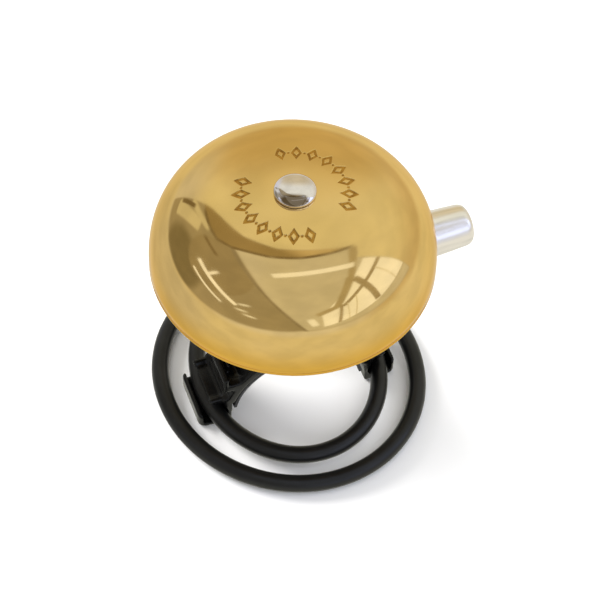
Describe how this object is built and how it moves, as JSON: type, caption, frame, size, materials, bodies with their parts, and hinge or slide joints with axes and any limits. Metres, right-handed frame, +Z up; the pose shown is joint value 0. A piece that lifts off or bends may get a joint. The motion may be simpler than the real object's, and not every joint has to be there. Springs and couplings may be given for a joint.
{
  "type": "bicycle bell",
  "caption": "Handlebar bell: brass dome on a post, spring striker in a turning collar, saddle bracket held by an O-ring, with a larger spare O-ring.",
  "frame": {"origin": "crown of the saddle pad, on the dome's axis, where the pad meets the top of the handlebar", "axes": "+Z up the dome's axis, +Y along the handlebar, +X towards the striker"},
  "size_m": [0.0716, 0.0646, 0.0673],
  "materials": {
    "polished_brass": "mirror polished and lacquered",
    "plain_brass": "turned",
    "chrome": "mirror",
    "satin_aluminium": "satin turned",
    "zinc_steel": "zinc plated",
    "spring_steel": "drawn wire",
    "black_nylon": "satin moulded",
    "natural_nylon": "moulded",
    "black_rubber": "satin",
    "pad_rubber": "matt"
  },
  "bodies": {
    "bell_body": {"dome": "polished_brass", "dome_screw": "chrome", "dome_bush": "natural_nylon", "dome_seat_washer": "pad_rubber", "post": "zinc_steel", "post_nut": "zinc_steel", "post_lock_washer": "spring_steel", "neck_bush": "plain_brass", "collar_slip_washer": "natural_nylon", "collar_wave_washer": "spring_steel", "bracket": "black_nylon", "saddle_pad": "pad_rubber", "small_o_ring": "black_rubber"},
    "collar": {"striker_collar": "black_nylon", "socket_ferrule": "plain_brass", "socket_set_screw": "zinc_steel"},
    "striker": {"striker_spring": "spring_steel", "striker_stud": "zinc_steel", "striker_head": "satin_aluminium"},
    "spare_ring": {"large_o_ring": "black_rubber"}
  },
  "joints": [
    {"name": "collar_turn", "type": "hinge", "parent": "bell_body", "child": "collar", "pos_m": [0, 0, 0.0218], "axis": [0, 0, 1], "continuous": true},
    {"name": "striker_flick", "type": "hinge", "parent": "collar", "child": "striker", "pos_m": [0.0114, 0.0003, 0.0218], "axis": [-0.0262, 0.9997, 0], "range_deg": [-3.2, 18], "stiffness_Nm_per_rad": 0.15},
    {"name": "spare_ring_lift", "type": "slide", "parent": "bell_body", "child": "spare_ring", "axis": [0, 0, 1], "range_m": [0, 0.012]}
  ]
}
